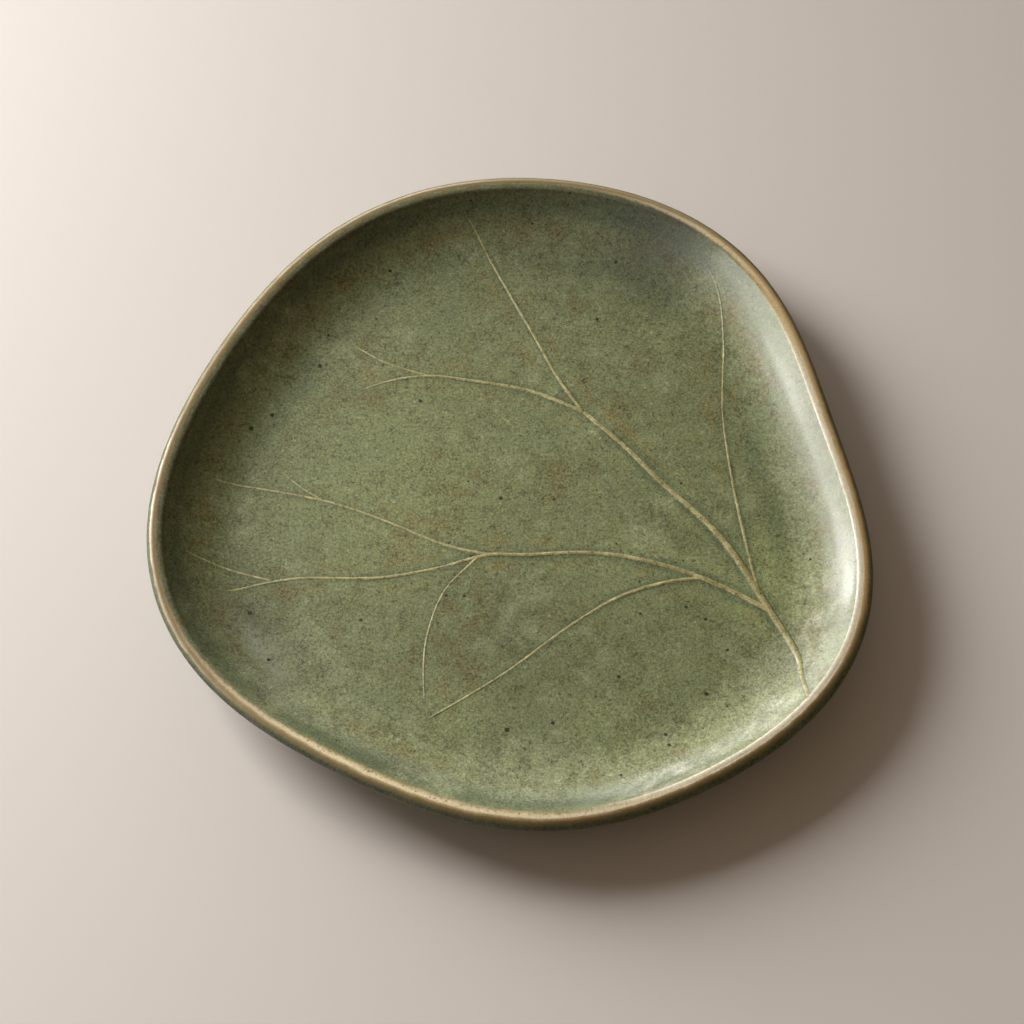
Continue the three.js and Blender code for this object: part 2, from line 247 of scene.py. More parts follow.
class SidePlateSizes(bpy.types.PropertyGroup):
    """Sizes of the plate, as in its CAD source"""

    rim_radius: length("Rim radius", "Mean radius to the outside of the lip", 100 * MM)
    slab_thickness: length("Slab thickness", "Thickness of the clay slab", 4.6 * MM)
    bend_radius: length("Bend radius", "Radius of the slab's middle from floor to wall", 31.7 * MM)
    wall_lean: FloatProperty(name="Wall lean", description="Turn of the wall up from the floor by the lip",
                             default=math.radians(45), subtype="ANGLE")
    foot_height: length("Foot height", "From the table to the underside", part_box("foot_ring")[1].z)
    foot_width: length("Foot width", "Width of the foot ring's bearing face", 6 * MM)
    foot_inset: length("Foot inset", "Middle of the foot ring inwards of the bend", 12 * MM)
    foot_flare: length("Foot flare", "Spread of each side of the foot ring at the slab", 0.8 * MM)
    foot_edge: length("Foot edge", "Rounding of the bearing face", 1 * MM)
    glaze_thickness: length("Glaze thickness", "Thickness of the fired coat", 0.45 * MM)
    bare_foot_margin: length("Bare margin", "Bare clay between foot ring and glaze line", 3 * MM)
    vein_relief: FloatProperty(name="Vein relief", description="Height of a crest as a share of its width",
                               default=0.2, min=0)
    turn_steps: IntProperty(name="Turn steps", description="Faces round the plate", default=560, min=48)


class SidePlateColours(bpy.types.PropertyGroup):
    """Colours of the fired clay and glaze"""

    glaze: colour("Glaze", "Glaze of even thickness", 112, 119, 76)
    pooled: colour("Pooled glaze", "Glaze where it lies thick", 89, 100, 65)
    thin: colour("Thin glaze", "Glaze where the clay warms it", 129, 121, 69)
    milky: colour("Milky glaze", "Cloudy glaze", 127, 133, 95)
    bloom: colour("Bloom", "Blue-grey bloom on thick glaze", 132, 138, 120)
    clay: colour("Toasted clay", "Clay where the glaze breaks", 150, 141, 86)
    cream: colour("Pale clay", "Palest clay on the crests", 180, 171, 116)
    lip_olive: colour("Olive lip", "Thin glaze on the flanks of the lip", 116, 112, 70)
    lip_tan: colour("Tan lip", "Clay beside the crest of the lip", 188, 170, 122)
    # Partly painted highlight: the clay's cream is brightened to stand for the soft highlight along the near
    # lip
    lip_cream_and_highlight: colour("Cream lip", "Clay on the crest of the lip", 239, 224, 188)
    lip_gold: colour("Golden lip", "Clay of the lip at the right", 204, 176, 119)
    # Painted highlight: this near-white stands in for reflections of the windows, on the lip at the right and
    # near right and in the sheen streaks on the wall
    painted_highlight_white: colour("White lip", "Milky glaze on the lip at the right", 246, 240, 216)
    lip_rust: colour("Rust lip", "Iron at the outer edge of the lip", 146, 119, 73)
    lip_veil: colour("Veiled lip", "Glaze drawn thin over the far and left lip", 106, 88, 46)
    rust: colour("Rust", "Iron bleeding from the clay", 118, 80, 40)
    iron: colour("Iron", "Iron specks in the glaze", 34, 29, 15)
    bare: colour("Bare clay", "Unglazed clay of the foot and underside", 178, 148, 108)
    buff: colour("Pale bare clay", "Paler clouds of the unglazed clay", 190, 163, 122)
    table: colour("Table", "Plain floor under the plate", 216, 209, 203)


def waves(entries, angle):
    """Sum of the waves at angles round the plate."""
    return sum(rise * np.cos(count * (angle - math.radians(heading))) for count, rise, heading in entries)


def smooth(low, high, value):
    """Smooth step from 0 at low to 1 at high."""
    share = np.clip((value - low) / (high - low), 0, 1)
    return share * share * (3 - 2 * share)


def bell(value, middle, reach):
    """Smooth rise to 1 at the middle."""
    return np.exp(-((value - middle) / reach) ** 2)


def bands(wall, *entries):
    """Sum of soft bands up the wall."""
    return sum(strength * bell(wall, middle * MM, reach * MM) for strength, middle, reach in entries)


def painted_wall_shade(wall, rise, start, full):
    """Brightening that sets in up the wall, used for painted shade."""
    return rise * smooth(start * MM, full * MM, wall)


def joined(*parts):
    """Radius, height and running length of a profile made of parts."""
    radius, height = (np.concatenate(side) for side in zip(*parts))
    return radius, height, np.concatenate(([0], np.cumsum(np.hypot(np.diff(radius), np.diff(height)))))


def store(mesh, key, values, kind="FLOAT", field="value"):
    """Keeps values at the points of a mesh."""
    data = mesh.attributes.new(key, kind, "POINT").data
    data.foreach_set(field, np.asarray(values, dtype=np.float32).ravel())


def fetch(mesh, key):
    """Values kept at the points of a mesh."""
    values = np.zeros(len(mesh.vertices), dtype=np.float32)
    mesh.attributes[key].data.foreach_get("value", values)
    return values


class Shape:
    """Places on the turned plate, and how it is pulled out of round."""

    def __init__(self, sizes):
        self.sizes = sizes
        self.half = sizes.slab_thickness / 2
        self.lean = sizes.wall_lean
        self.bend_radius = sizes.bend_radius
        self.floor_middle = sizes.foot_height + self.half
        self.floor_top = sizes.foot_height + sizes.slab_thickness
        self.nose_r = sizes.rim_radius - self.half
        self.nose_z = self.floor_middle + self.bend_radius * (1 - math.cos(self.lean))
        self.bend_start = self.nose_r - self.bend_radius * math.sin(self.lean)
        self.foot_radius = self.bend_start - sizes.foot_inset
        self.glaze_line = self.foot_radius + sizes.foot_width / 2 + sizes.foot_flare + sizes.bare_foot_margin
        self.angle = np.arange(sizes.turn_steps) * TURN / sizes.turn_steps
        self.middle = np.zeros(2)
        outline = self.stand(np.array([[sizes.rim_radius + sizes.glaze_thickness * 0.7]]), self.nose_z)[0]
        self.middle = (outline[:, :2].min(0) + outline[:, :2].max(0)) / 2

    def centre(self, height):
        """The turning axis at a height."""
        return np.array([*(-self.middle), height])

    def bend(self, offset, angles):
        """Radius and height on the bend, at an offset inwards from the slab's middle."""
        reach = self.bend_radius - offset
        return (self.bend_start + reach * np.sin(angles),
                self.floor_middle + self.bend_radius - reach * np.cos(angles))

    def nose(self, reach, angles):
        """Radius and height round the nose of the lip, angles from level outwards."""
        return self.nose_r + reach * np.cos(angles), self.nose_z + reach * np.sin(angles)

    def stand(self, radius, height):
        """Points of rings whose radius and height are given, pulled out of round and waved at the lip."""
        angle = self.angle
        radius = np.broadcast_to(radius, (np.shape(radius)[0], len(angle)))
        out = radius + waves(RIM_LOBES, angle) * np.minimum(1, radius / self.bend_start)
        share = np.clip((radius - self.bend_start) / (self.sizes.rim_radius - self.bend_start), 0, 1) ** 2
        z = height + waves(LIP_WAVES, angle) * share
        return np.stack((out * np.cos(angle) - self.middle[0], out * np.sin(angle) - self.middle[1],
                         np.broadcast_to(z, out.shape)), axis=-1)

    def about(self, heading, clear, full):
        """How near places round the plate are to a heading: 0 from clear degrees away, 1 within full."""
        away = np.abs(np.angle(np.exp(1j * (self.angle - math.radians(heading)))))
        return smooth(math.radians(clear), math.radians(full), away)[None, :]

    def lip_values(self, turn):
        """Values for the lip's material: the turn of each ring, and how the bands change round the plate.

        veil is how far the glaze is drawn over the lip, verge how far (in half turns) the bare lip ends to
        the outside, roll how far its bands lie to the outside, pale where the lip is painted white as a
        highlight, gold where golden.
        """
        veil, pale = self.about(*VEIL_SIDE), self.about(*PAINTED_HIGHLIGHT_SIDE)
        return {"turn": turn[:, None], "veil": veil, "verge": 0.21 * veil - 0.048 * pale,
                "roll": 0.08 * self.about(*ROLL_SIDE), "pale": pale, "gold": self.about(*GOLD_SIDE)}

    def face_height(self, x, y, coat):
        """Height of the dish's face at places in plan about the turning axis, under a coat of glaze."""
        angle = np.arctan2(y, x)
        reach = np.hypot(x, y)
        pull = waves(RIM_LOBES, angle)
        radius = np.maximum(reach - pull, np.minimum(self.bend_start, reach / (1 + pull / self.bend_start)))
        inner = self.bend_radius - self.half - coat
        run = np.clip(radius - self.bend_start, 0, inner * math.sin(self.lean))
        share = np.clip((radius - self.bend_start) / (self.sizes.rim_radius - self.bend_start), 0, 1) ** 2
        rise = inner - np.sqrt(inner ** 2 - run ** 2)
        return self.floor_top + coat + rise + waves(LIP_WAVES, angle) * share


def rings_mesh(name, rings, start=None, end=None, values=None, uv=None):
    """A turned skin from rings of points, closed at each end by a pole or, without one, end to end."""
    rows, columns = rings.shape[:2]
    corners = [tuple(p) for p in rings.reshape(-1, 3)]
    faces = []
    following = np.roll(np.arange(columns), -1)
    last_row = rows - 1 if start is not None else rows
    for row in range(last_row):
        low = row * columns
        high = ((row + 1) % rows) * columns
        faces += [(low + c, low + n, high + n, high + c) for c, n in enumerate(following)]
    if start is not None:
        corners.append(tuple(start))
        pole = len(corners) - 1
        faces += [(pole, n, c) for c, n in enumerate(following)]
    if end is not None:
        corners.append(tuple(end))
        pole = len(corners) - 1
        low = (rows - 1) * columns
        faces += [(low + c, low + n, pole) for c, n in enumerate(following)]
    mesh = bpy.data.meshes.new(name)
    mesh.from_pydata(corners, [], faces)
    for key, grid in (values or {}).items():
        flat = np.broadcast_to(grid, (rows, columns)).ravel()
        flat = list(flat) + [flat[0]] * (start is not None) + [flat[-1]] * (end is not None)
        store(mesh, key, flat)
    if uv is not None:
        write_uv(mesh, columns, uv, (start is not None) + (end is not None))
    edit = bmesh.new()
    edit.from_mesh(mesh)
    bmesh.ops.recalc_face_normals(edit, faces=edit.faces)
    edit.to_mesh(mesh)
    edit.free()
    mesh.shade_smooth()
    mesh.update()
    return mesh


def write_uv(mesh, columns, reach, poles):
    """A bake map in which each ring keeps its own radius, so that nothing shown lies on anything else."""
    angle = np.arange(columns) * TURN / columns
    reach = np.asarray(reach)[:, None]
    flat = np.stack((reach * np.cos(angle), reach * np.sin(angle)), axis=-1).reshape(-1, 2)
    flat = np.concatenate((flat, np.zeros((poles, 2)))) * MAP_REACH / np.abs(flat).max() + 0.5
    loops = np.zeros(len(mesh.loops), dtype=np.int32)
    mesh.loops.foreach_get("vertex_index", loops)
    layer = mesh.uv_layers.new(name="OFBake")
    layer.data.foreach_set("uv", flat[loops].astype(np.float32).ravel())


def add_piece(name, mesh, slot, *nodes):
    """Puts a finished mesh in the scene, on the plate's body, for the CAD nodes that it stands for."""
    piece = bpy.data.objects.new(name, mesh)
    bpy.context.scene.collection.objects.link(piece)
    return settle(piece, slot, *nodes)


def settle(piece, slot, *nodes):
    """Says what a piece rides on and replaces; the slot is not used."""
    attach(piece, "root")
    if nodes:
        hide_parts(*nodes)
    return piece


class Nodes:
    """Adds and links nodes in one tree."""

    def __init__(self, tree):
        self.tree = tree

    def add(self, kind, inputs=None, **settings):
        node = self.tree.nodes.new(kind)
        for key, value in settings.items():
            setattr(node, key, value)
        for key, value in (inputs or {}).items():
            self.feed(node.inputs[key], value)
        return node

    def first(self, kind, inputs=None, **settings):
        """First output of a new node."""
        return self.add(kind, inputs, **settings).outputs[0]

    def feed(self, socket, value):
        if isinstance(value, bpy.types.NodeSocket):
            self.tree.links.new(value, socket)
        elif socket.type == "RGBA":
            socket.default_value = rgba(value)
        else:
            socket.default_value = value

    def math(self, operation, a, b=0.0):
        return self.first("ShaderNodeMath", {0: a, 1: b}, operation=operation)

    def times(self, a, b):
        return self.math("MULTIPLY", a, b)

    def fused(self, a, b, c):
        """a times b, plus c."""
        return self.first("ShaderNodeMath", {0: a, 1: b, 2: c}, operation="MULTIPLY_ADD")

    def sum(self, base, *terms):
        """base plus each (value, weight) counted from the value's middle, one half."""
        total = base
        for value, weight in terms:
            total = self.fused(self.math("SUBTRACT", value, 0.5), weight, total)
        return total

    def ramp(self, value, low, high, to_low=0.0, to_high=1.0):
        return self.first("ShaderNodeMapRange", {"Value": value, "From Min": low, "From Max": high,
                                                 "To Min": to_low, "To Max": to_high},
                          interpolation_type="SMOOTHSTEP")

    def mix(self, share, a, b):
        return self.add("ShaderNodeMix", {0: share, 6: a, 7: b}, data_type="RGBA").outputs[2]

    def band(self, turn, degrees, *to):
        """Ramp between two angles, in degrees, of a turn that runs from 0 to 1 over half a turn."""
        return self.ramp(turn, degrees[0] / HALF_TURN, degrees[1] / HALF_TURN, *to)

    def stops(self, turn, colours, stops):
        """Colours at angles, in degrees, of a turn that runs from 0 to 1 over half a turn."""
        node = self.add("ShaderNodeValToRGB", {0: turn})
        elements = node.color_ramp.elements
        while len(elements) < len(stops):
            elements.new(1.0)
        for element, (angle, key) in zip(elements, stops):
            element.position = angle / HALF_TURN
            element.color = rgba(getattr(colours, key))
        return node.outputs["Color"]

    def scale(self, vector, factor):
        return self.first("ShaderNodeVectorMath", {0: vector, "Scale": factor}, operation="SCALE")

    def noise(self, place, size, detail=2.0, rough=0.5, distortion=0.0):
        return self.add("ShaderNodeTexNoise", {"Vector": place, "Scale": 1 / size, "Detail": detail,
                                               "Roughness": rough, "Distortion": distortion}).outputs["Fac"]

    def value(self, name):
        return self.add("ShaderNodeAttribute", attribute_name=name).outputs["Fac"]

    def place(self):
        return self.add("ShaderNodeTexCoord").outputs["Object"]

    def group(self, tree, inputs):
        return self.add("ShaderNodeGroup", inputs, node_tree=tree).outputs

    def shift(self, place, by):
        return self.first("ShaderNodeVectorMath", {0: place, 1: by})

    def wobble(self, place, size, reach):
        """The place, moved about by noise."""
        away = self.add("ShaderNodeTexNoise", {"Vector": place, "Scale": 1 / size}).outputs["Color"]
        return self.shift(place, self.scale(away, reach))

    def bump(self, relief):
        return self.first("ShaderNodeBump", {"Strength": 1.0, "Distance": BUMP_HEIGHT, "Height": relief})


def rgba(value):
    return (*value, 1.0)


def shader_group(name, inputs, outputs):
    """An empty shader node group with named sockets, its Nodes, and its input and output nodes."""
    tree = bpy.data.node_groups.new(name, "ShaderNodeTree")
    for key, kind in inputs:
        tree.interface.new_socket(key, in_out="INPUT", socket_type=kind)
    for key, kind in outputs:
        tree.interface.new_socket(key, in_out="OUTPUT", socket_type=kind)
    nodes = Nodes(tree)
    return tree, nodes, nodes.add("NodeGroupInput").outputs, nodes.add("NodeGroupOutput").inputs


def mottle_group():
    """Clouds, blotches, grain and hair-fine flecks of a fired surface."""
    name = "Fired mottle"
    if name in bpy.data.node_groups:
        return bpy.data.node_groups[name]
    tree, nodes, given, out = shader_group(
        name, [("Place", "NodeSocketVector")], [(key, "NodeSocketFloat") for key in (*MOTTLE, "Flecks")])
    place = given["Place"]
    away = nodes.shift(place, MOTTLE_AWAY)
    for key, (size, detail, rough, distortion, elsewhere) in MOTTLE.items():
        nodes.feed(out[key], nodes.noise(away if elsewhere else place, size, detail, rough, distortion))
    flecks = 1.0
    for spot, mask_size, strength in ((place, 1.7 * MM, -0.6), (away, 1.5 * MM, 0.4)):
        line = nodes.noise(spot, 1.25 * MM, 1.5, 0.5, 0.8)
        hair = nodes.ramp(nodes.math("ABSOLUTE", nodes.math("SUBTRACT", line, 0.5)), 0.06, 0.0)
        broken = nodes.ramp(nodes.noise(spot, mask_size, 1, 0.5), 0.5, 0.62)
        flecks = nodes.fused(nodes.times(hair, broken), strength, flecks)
    pits = nodes.ramp(nodes.noise(away, 0.75 * MM, 2, 0.6), 0.6, 0.72)
    nodes.feed(out["Flecks"], nodes.fused(pits, -0.35, flecks))
    return tree


def placed_speck_group():
    """One iron speck at a given spot, joined to those before it."""
    name = "Placed speck"
    if name in bpy.data.node_groups:
        return bpy.data.node_groups[name]
    tree, nodes, given, out = shader_group(
        name, [("Place", "NodeSocketVector"), ("Spot", "NodeSocketVector"), ("Size", "NodeSocketFloat"),
               ("Mask", "NodeSocketFloat")], [("Mask", "NodeSocketFloat")])
    gap = nodes.add("ShaderNodeVectorMath", {0: given["Place"], 1: given["Spot"]}, operation="DISTANCE")
    inside = nodes.ramp(nodes.math("DIVIDE", gap.outputs["Value"], given["Size"]), 1.35, 0.85)
    nodes.feed(out["Mask"], nodes.math("MAXIMUM", inside, given["Mask"]))
    return tree


def specks_group():
    """Small iron specks, scattered through the body."""
    name = "Iron specks"
    if name in bpy.data.node_groups:
        return bpy.data.node_groups[name]
    tree, nodes, given, out = shader_group(
        name, [("Place", "NodeSocketVector"), ("Spacing", "NodeSocketFloat"), ("Share", "NodeSocketFloat")],
        [("Mask", "NodeSocketFloat")])
    spot = nodes.add("ShaderNodeTexVoronoi", {"Vector": nodes.wobble(given["Place"], 0.8 * MM, 0.35 * MM),
                                              "Scale": nodes.math("DIVIDE", 1.0, given["Spacing"])})
    lots = nodes.add("ShaderNodeSeparateColor", {0: spot.outputs["Color"]}).outputs
    chosen = nodes.math("LESS_THAN", lots[0], given["Share"])
    size = nodes.ramp(lots[1], 0, 1, 0.03, 0.08)
    inside = nodes.ramp(nodes.math("DIVIDE", spot.outputs["Distance"], size), 1.15, 0.75)
    nodes.feed(out["Mask"], nodes.times(inside, chosen))
    return tree


def new_material(name, viewport):
    """A material with one Principled BSDF, its Nodes and that shader's sockets."""
    material = bpy.data.materials.new(name)
    material.use_nodes = True
    material.diffuse_color = rgba(viewport)
    shader = material.node_tree.nodes["Principled BSDF"]
    return material, Nodes(material.node_tree), shader.inputs


def glaze_material():
    """Green satin glaze that breaks to toasted clay where its coat runs out, and deepens where it pools."""
    name = "Leaf glaze"
    if name in bpy.data.materials:
        return bpy.data.materials[name]
    colours = bpy.context.scene.side_plate_colours
    shape = Shape(bpy.context.scene.side_plate_sizes)
    material, nodes, shader = new_material(name, colours.glaze)
    place = nodes.place()
    mottle = nodes.group(mottle_group(), {"Place": place})

    # The coat: thin, even and pooled glaze, milky haze with painted sheen on the near wall, clouds that are
    # partly painted shade and sheen, bloom, and streaks of painted sheen
    tone = nodes.fused(nodes.value("pool"), 0.5, 0.5)
    tone = nodes.sum(tone, (mottle["Cloud"], 1.1), (mottle["Blotch"], 0.9))
    body = nodes.mix(nodes.ramp(tone, 0.0, 0.5), colours.thin, colours.glaze)
    body = nodes.mix(nodes.ramp(tone, 0.5, 1.0), body, colours.pooled)
    # Milky haze, raised in a band up the near wall that is partly painted sheen
    haze = nodes.sum(nodes.fused(nodes.value("milk_and_sheen"), 0.16, mottle["Haze"]), (mottle["Blotch"], 0.4))
    body = nodes.mix(nodes.ramp(haze, 0.5, 0.72, 0, 0.8), body, colours.milky)
    light = nodes.sum(1.03, (mottle["Blotch"], 1.1), (mottle["Grain"], 3.2), (mottle["Cloud"], 0.7))
    # The cloud value brightens or darkens the coat: partly clouds of the glaze, partly painted shade and
    # painted sheen
    light = nodes.times(light, nodes.math("ADD", nodes.value("cloud_and_painted_light"), 1.0))
    body = nodes.scale(body, nodes.times(light, mottle["Flecks"]))
    crackle = nodes.ramp(nodes.noise(place, 0.9 * MM, 2, 0.7), 0.4, 0.6)
    body = nodes.mix(nodes.times(nodes.value("bloom"), crackle), body, colours.bloom)
    # Painted sheen: white streaks on the near-right wall
    streaks = nodes.times(nodes.value("painted_sheen"), nodes.ramp(mottle["Grain"], 0.3, 0.7, 0.12, 0.42))
    body = nodes.mix(streaks, body, colours.painted_highlight_white)

    # Iron specks, scattered and placed
    specks = nodes.group(specks_group(), {"Place": place, "Spacing": 6 * MM, "Share": 0.22})["Mask"]
    unit = shape.sizes.rim_radius / 100
    ragged_place = nodes.wobble(place, 1.1 * MM, SPECK_WOBBLE)
    for x, y, size in SPECKS:
        z = float(shape.face_height(np.array(x * unit), np.array(y * unit), shape.sizes.glaze_thickness))
        spot = [v + SPECK_WOBBLE / 2 for v in (x * unit - shape.middle[0], y * unit - shape.middle[1], z)]
        specks = nodes.group(placed_speck_group(), {"Place": ragged_place, "Spot": spot, "Size": size * MM,
                                                    "Mask": specks})["Mask"]
    body = nodes.mix(specks, body, colours.iron)

    # Toasted clay on the crests of the veins
    coat = nodes.value("coat")
    edge = nodes.sum(coat, (nodes.noise(place, 0.7 * MM, 3, 0.7), 1.0))
    clay = nodes.mix(nodes.ramp(nodes.noise(place, 3.5 * MM, 2, 0.6), 0.35, 0.7), colours.clay, colours.cream)
    rust_spots = nodes.ramp(nodes.noise(place, 0.9 * MM, 3, 0.7), 0.56, 0.66)
    clay = nodes.mix(nodes.times(rust_spots, nodes.ramp(edge, 0.0, 0.3, 0.45, 0.95)), clay, colours.rust)
    grit = nodes.times(nodes.sum(1.0, (mottle["Grain"], 1.6)), mottle["Flecks"])
    dashes = nodes.ramp(nodes.noise(place, 1.4 * MM, 3, 0.6), 0.63, 0.69, 0, 0.75)
    clay = nodes.mix(dashes, nodes.scale(clay, grit), colours.iron)
    body = nodes.mix(nodes.ramp(edge, 0.3, 0.7), clay, body)

    # The lip, whose bands change round the plate; the cream on its crest is partly a painted highlight
    turn = nodes.sum(nodes.value("turn"), (nodes.noise(place, 0.9 * MM, 3, 0.7), 0.09),
                     (nodes.noise(place, 5 * MM, 2, 0.5), 0.12))
    pale = nodes.value("pale")
    crest = nodes.math("SUBTRACT", nodes.math("ADD", turn, nodes.value("roll")), nodes.times(pale, 0.05))
    lip = nodes.stops(crest, colours, LIP_STOPS)
    lip = nodes.mix(nodes.times(nodes.value("veil"), 0.9), lip, nodes.stops(turn, colours, VEILED_STOPS))
    gold = nodes.times(nodes.value("gold"), nodes.band(turn, GOLD_BAND, 0, 0.85))
    lip = nodes.mix(gold, lip, colours.lip_gold)
    # Painted highlight: at the right and near right the lip is painted near white where the windows would be
    # reflected
    painted_highlight = nodes.times(nodes.times(pale, 0.92), nodes.band(turn, PAINTED_HIGHLIGHT_BAND))
    lip = nodes.mix(painted_highlight, lip, colours.painted_highlight_white)
    dots = nodes.times(rust_spots, nodes.band(turn, DOT_BAND, 0.25, 0.9))
    lip = nodes.mix(nodes.times(dots, nodes.ramp(painted_highlight, 0, 1, 1, 0.25)), lip, colours.lip_rust)
    lip = nodes.scale(lip, nodes.sum(1.0, (mottle["Grain"], 0.8)))
    bare = nodes.times(nodes.band(crest, BARE_OUTSIDE),
                       nodes.band(nodes.math("ADD", turn, nodes.value("verge")), BARE_INSIDE))
    nodes.feed(shader["Base Color"], nodes.mix(bare, body, lip))

    # Gloss and relief
    dull = nodes.times(nodes.band(turn, DULL_OUTSIDE), nodes.band(turn, DULL_INSIDE))
    rough = nodes.math("MAXIMUM", nodes.ramp(bare, 0, 1, GLAZE_ROUGHNESS, LIP_ROUGHNESS),
                       nodes.ramp(dull, 0, 1, 0, DULL_ROUGHNESS))
    nodes.feed(shader["Roughness"], nodes.sum(rough, (mottle["Grain"], 0.35), (mottle["Blotch"], 0.2)))
    coating = nodes.times(nodes.ramp(coat, 0.3, 0.9, 0, COAT_WEIGHT), nodes.ramp(dull, 0, 1, 1, 0))
    nodes.feed(shader["Coat Weight"], nodes.math("MAXIMUM", coating, nodes.times(painted_highlight, bare)))
    nodes.feed(shader["Coat Roughness"], COAT_ROUGHNESS)
    relief = nodes.sum(0.0, (mottle["Blotch"], 0.06), (mottle["Grain"], 0.045))
    nodes.feed(shader["Normal"], nodes.bump(nodes.times(relief, nodes.ramp(bare, 0, 1, 1, 0.4))))
    return material


def clay_material():
    """Bare buff stoneware, gritty, with iron specks and a toasted edge beside the glaze."""
    name = "Bare stoneware"
    if name in bpy.data.materials:
        return bpy.data.materials[name]
    colours = bpy.context.scene.side_plate_colours
    material, nodes, shader = new_material(name, colours.bare)
    place = nodes.place()
    mottle = nodes.group(mottle_group(), {"Place": place})
    body = nodes.mix(nodes.ramp(mottle["Cloud"], 0.35, 0.65), colours.bare, colours.buff)
    toast = nodes.times(nodes.value("toast"), nodes.ramp(mottle["Blotch"], 0.2, 0.6, 0.4, 1))
    body = nodes.mix(toast, body, colours.rust)
    body = nodes.scale(body, nodes.sum(0.95, (mottle["Grain"], 0.9), (mottle["Blotch"], 0.4)))
    specks = nodes.group(specks_group(), {"Place": place, "Spacing": 4 * MM, "Share": 0.45})
    nodes.feed(shader["Base Color"], nodes.mix(specks["Mask"], body, colours.iron))
    nodes.feed(shader["Roughness"], nodes.sum(CLAY_ROUGHNESS, (mottle["Grain"], 0.3)))
    relief = nodes.sum(0.0, (mottle["Grain"], 0.16), (mottle["Blotch"], 0.08))
    nodes.feed(shader["Normal"], nodes.bump(relief))
    return material


Vein = namedtuple("Vein", "at half up sink fade")


def vein_paths(shape):
    """Each vein as points on the glazed face, with the half width of its crest, the face's upward normal, and
    how far it stands out (sink) and is bare (fade) towards its end."""
    unit = shape.sizes.rim_radius / 100
    coat = shape.sizes.glaze_thickness
    veins = []
    for closing, widths, path in LEAF.values():
        points = np.array(path, dtype=float) * unit
        places = follow(points, VEIN_STEP)
        share = np.linspace(0, 1, len(places))
        half = np.interp(share, np.linspace(0, 1, len(widths)), widths) * MM / 2
        x, y = places[:, 0], places[:, 1]
        step = 0.1 * MM
        slope_x = (shape.face_height(x + step, y, coat) - shape.face_height(x - step, y, coat)) / (2 * step)
        slope_y = (shape.face_height(x, y + step, coat) - shape.face_height(x, y - step, coat)) / (2 * step)
        up = np.stack((-slope_x, -slope_y, np.ones_like(x)), axis=-1)
        up /= np.linalg.norm(up, axis=1, keepdims=True)
        at = np.stack((x - shape.middle[0], y - shape.middle[1], shape.face_height(x, y, coat)), axis=-1)
        run = share * np.sum(np.linalg.norm(np.diff(places, axis=0), axis=1))
        end = run[-1] - run
        veins.append(Vein(at, half, up, smooth(0, VEIN_END, end), smooth(0, closing * MM, end)))
    return veins


def follow(points, step):
    """Even steps along a centripetal Catmull-Rom curve through points in plan."""
    first = 2 * points[0] - points[1]
    last = 2 * points[-1] - points[-2]
    knots = np.vstack((first, points, last))
    line = []
    for a, b, c, d in zip(knots, knots[1:], knots[2:], knots[3:]):
        t1 = np.linalg.norm(b - a) ** 0.5
        t2 = t1 + np.linalg.norm(c - b) ** 0.5
        t3 = t2 + np.linalg.norm(d - c) ** 0.5
        t = np.linspace(t1, t2, 40, endpoint=False)[:, None]
        ab = (t1 - t) / t1 * a + t / t1 * b
        bc = (t2 - t) / (t2 - t1) * b + (t - t1) / (t2 - t1) * c
        cd = (t3 - t) / (t3 - t2) * c + (t - t2) / (t3 - t2) * d
        abc = (t2 - t) / t2 * ab + t / t2 * bc
        bcd = (t3 - t) / (t3 - t1) * bc + (t - t1) / (t3 - t1) * cd
        line.append((t2 - t) / (t2 - t1) * abc + (t - t1) / (t2 - t1) * bcd)
    line = np.vstack(line + [points[-1:]])
    run = np.concatenate(([0], np.cumsum(np.linalg.norm(np.diff(line, axis=0), axis=1))))
    even = np.linspace(0, run[-1], max(4, round(run[-1] / step)) + 1)
    return np.stack([np.interp(even, run, line[:, k]) for k in (0, 1)], axis=-1)


